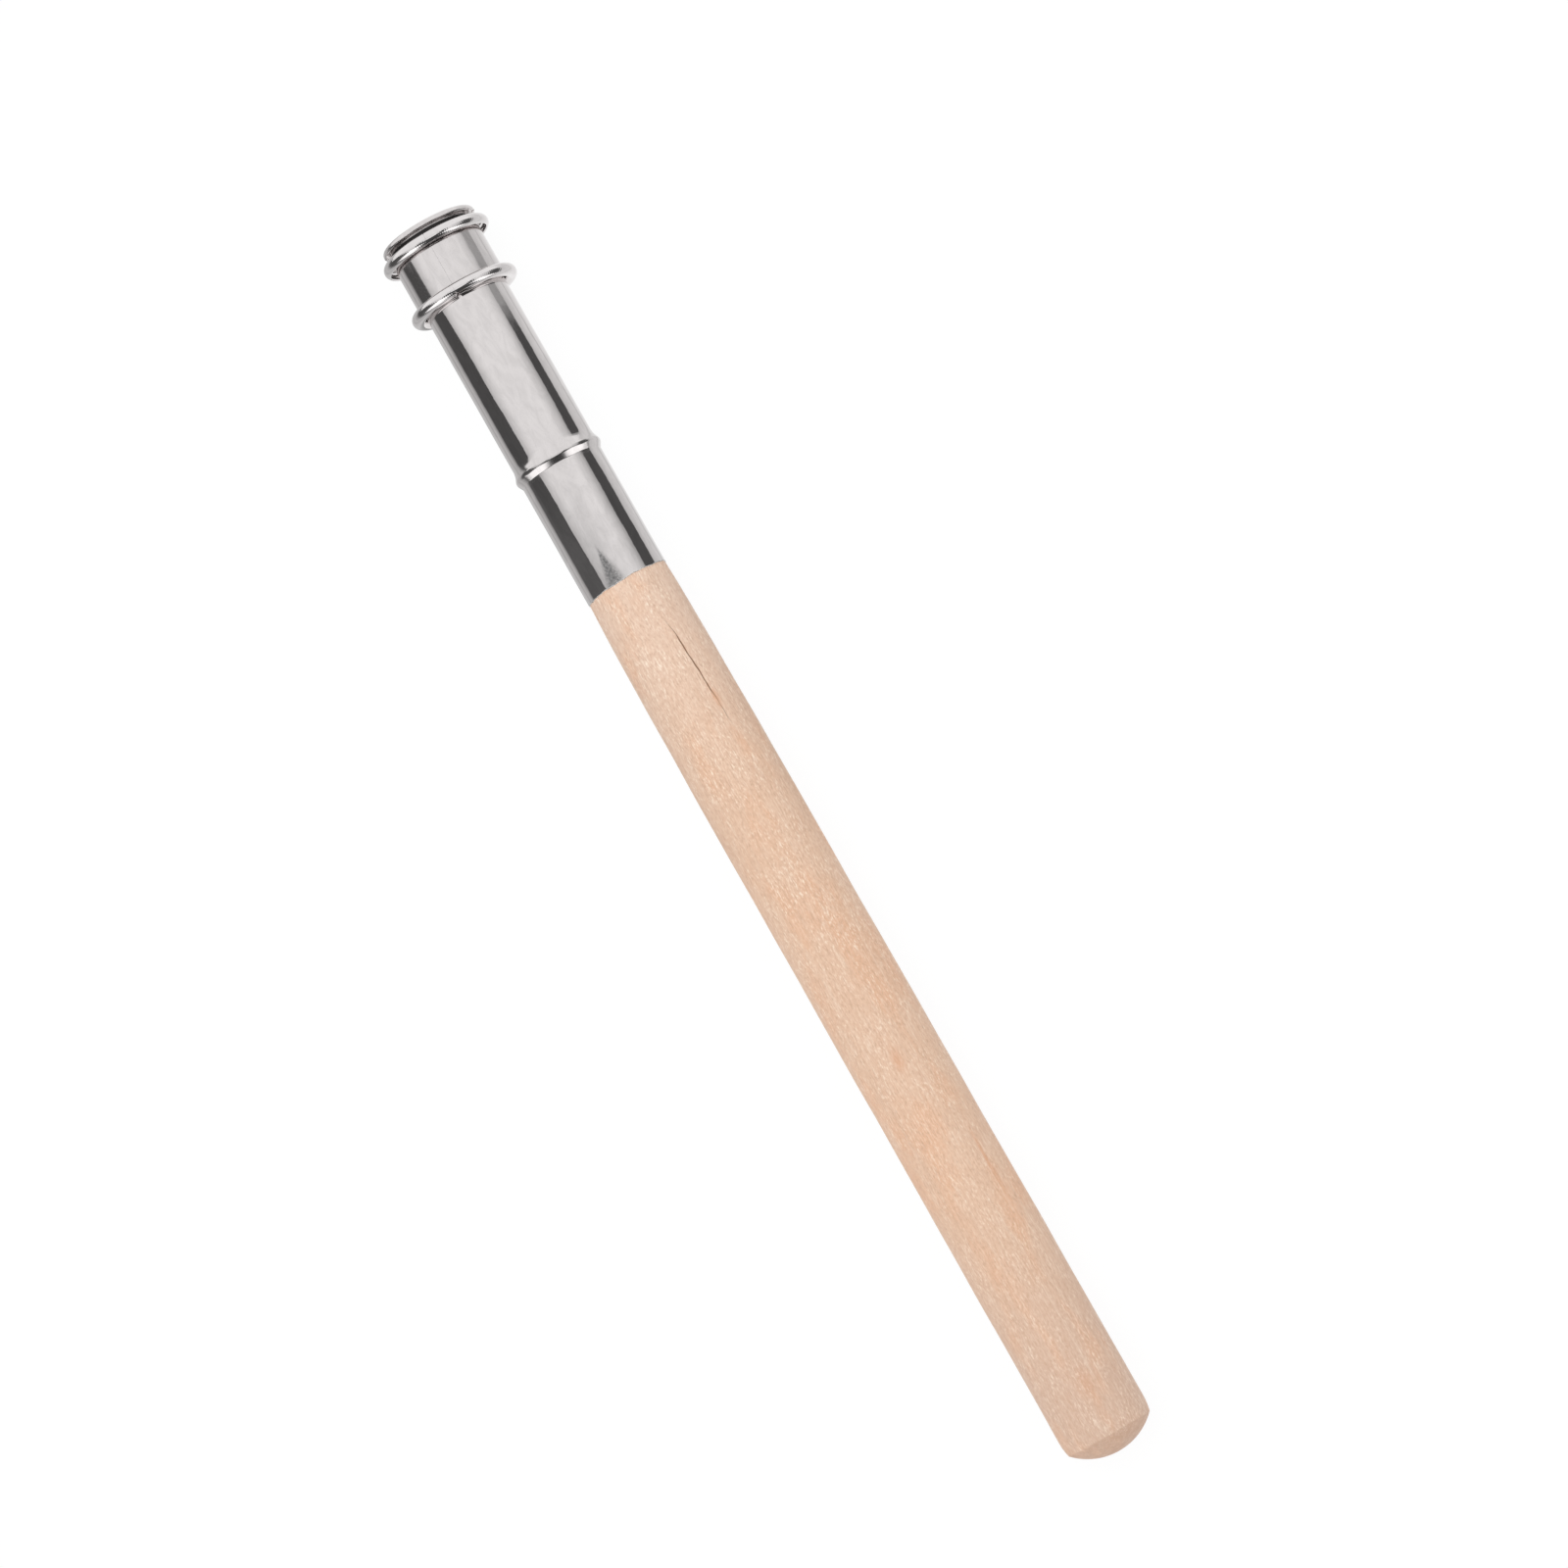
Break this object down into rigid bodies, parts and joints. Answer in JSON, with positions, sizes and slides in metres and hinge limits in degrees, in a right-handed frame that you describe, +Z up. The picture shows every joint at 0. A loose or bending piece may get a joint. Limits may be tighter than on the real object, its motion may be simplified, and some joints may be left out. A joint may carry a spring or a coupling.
{
  "type": "pencil extender",
  "caption": "Round wooden handle in a plated sheet-metal ferrule whose slit mouth forms spring jaws; a sliding ring with rolled edges closes the jaws on a short pencil.",
  "frame": {"origin": "under the middle of the part, on the surface that it lies on: the centre of the bounding box's lower face", "axes": "+X along the part's own axis, out of the mouth that takes the pencil; +Z up, towards the side that the picture shows"},
  "size_m": [0.123, 0.0104, 0.0104],
  "materials": {
    "wood": "bare sanded pale wood",
    "ferrule_metal": "bright plated sheet metal",
    "ring_metal": "bright plated sheet metal, finely ribbed on the rolled edges"
  },
  "bodies": {
    "grip": {"handle": "wood", "ferrule": "ferrule_metal"},
    "upper": {"jaw_upper": "ferrule_metal"},
    "lower": {"jaw_lower": "ferrule_metal"},
    "ring": {"clamp_ring": "ring_metal"}
  },
  "joints": [
    {"name": "ring_slide", "type": "slide", "parent": "grip", "child": "ring", "axis": [-1, 0, 0], "range_m": [-0.0004, 0.0161]},
    {"name": "upper_flex", "type": "hinge", "parent": "grip", "child": "upper", "pos_m": [0.04019, 0, 0.00765], "axis": [0, -1, 0], "range_deg": [-0.03, 0.78]},
    {"name": "lower_flex", "type": "hinge", "parent": "grip", "child": "lower", "pos_m": [0.04019, 0, 0.00275], "axis": [0, 1, 0], "range_deg": [-0.03, 0.78]}
  ],
  "couplings": [
    {"joint": "upper_flex", "follows": "ring_slide", "rad_per_m": 0.84},
    {"joint": "lower_flex", "follows": "ring_slide", "rad_per_m": 0.84}
  ]
}
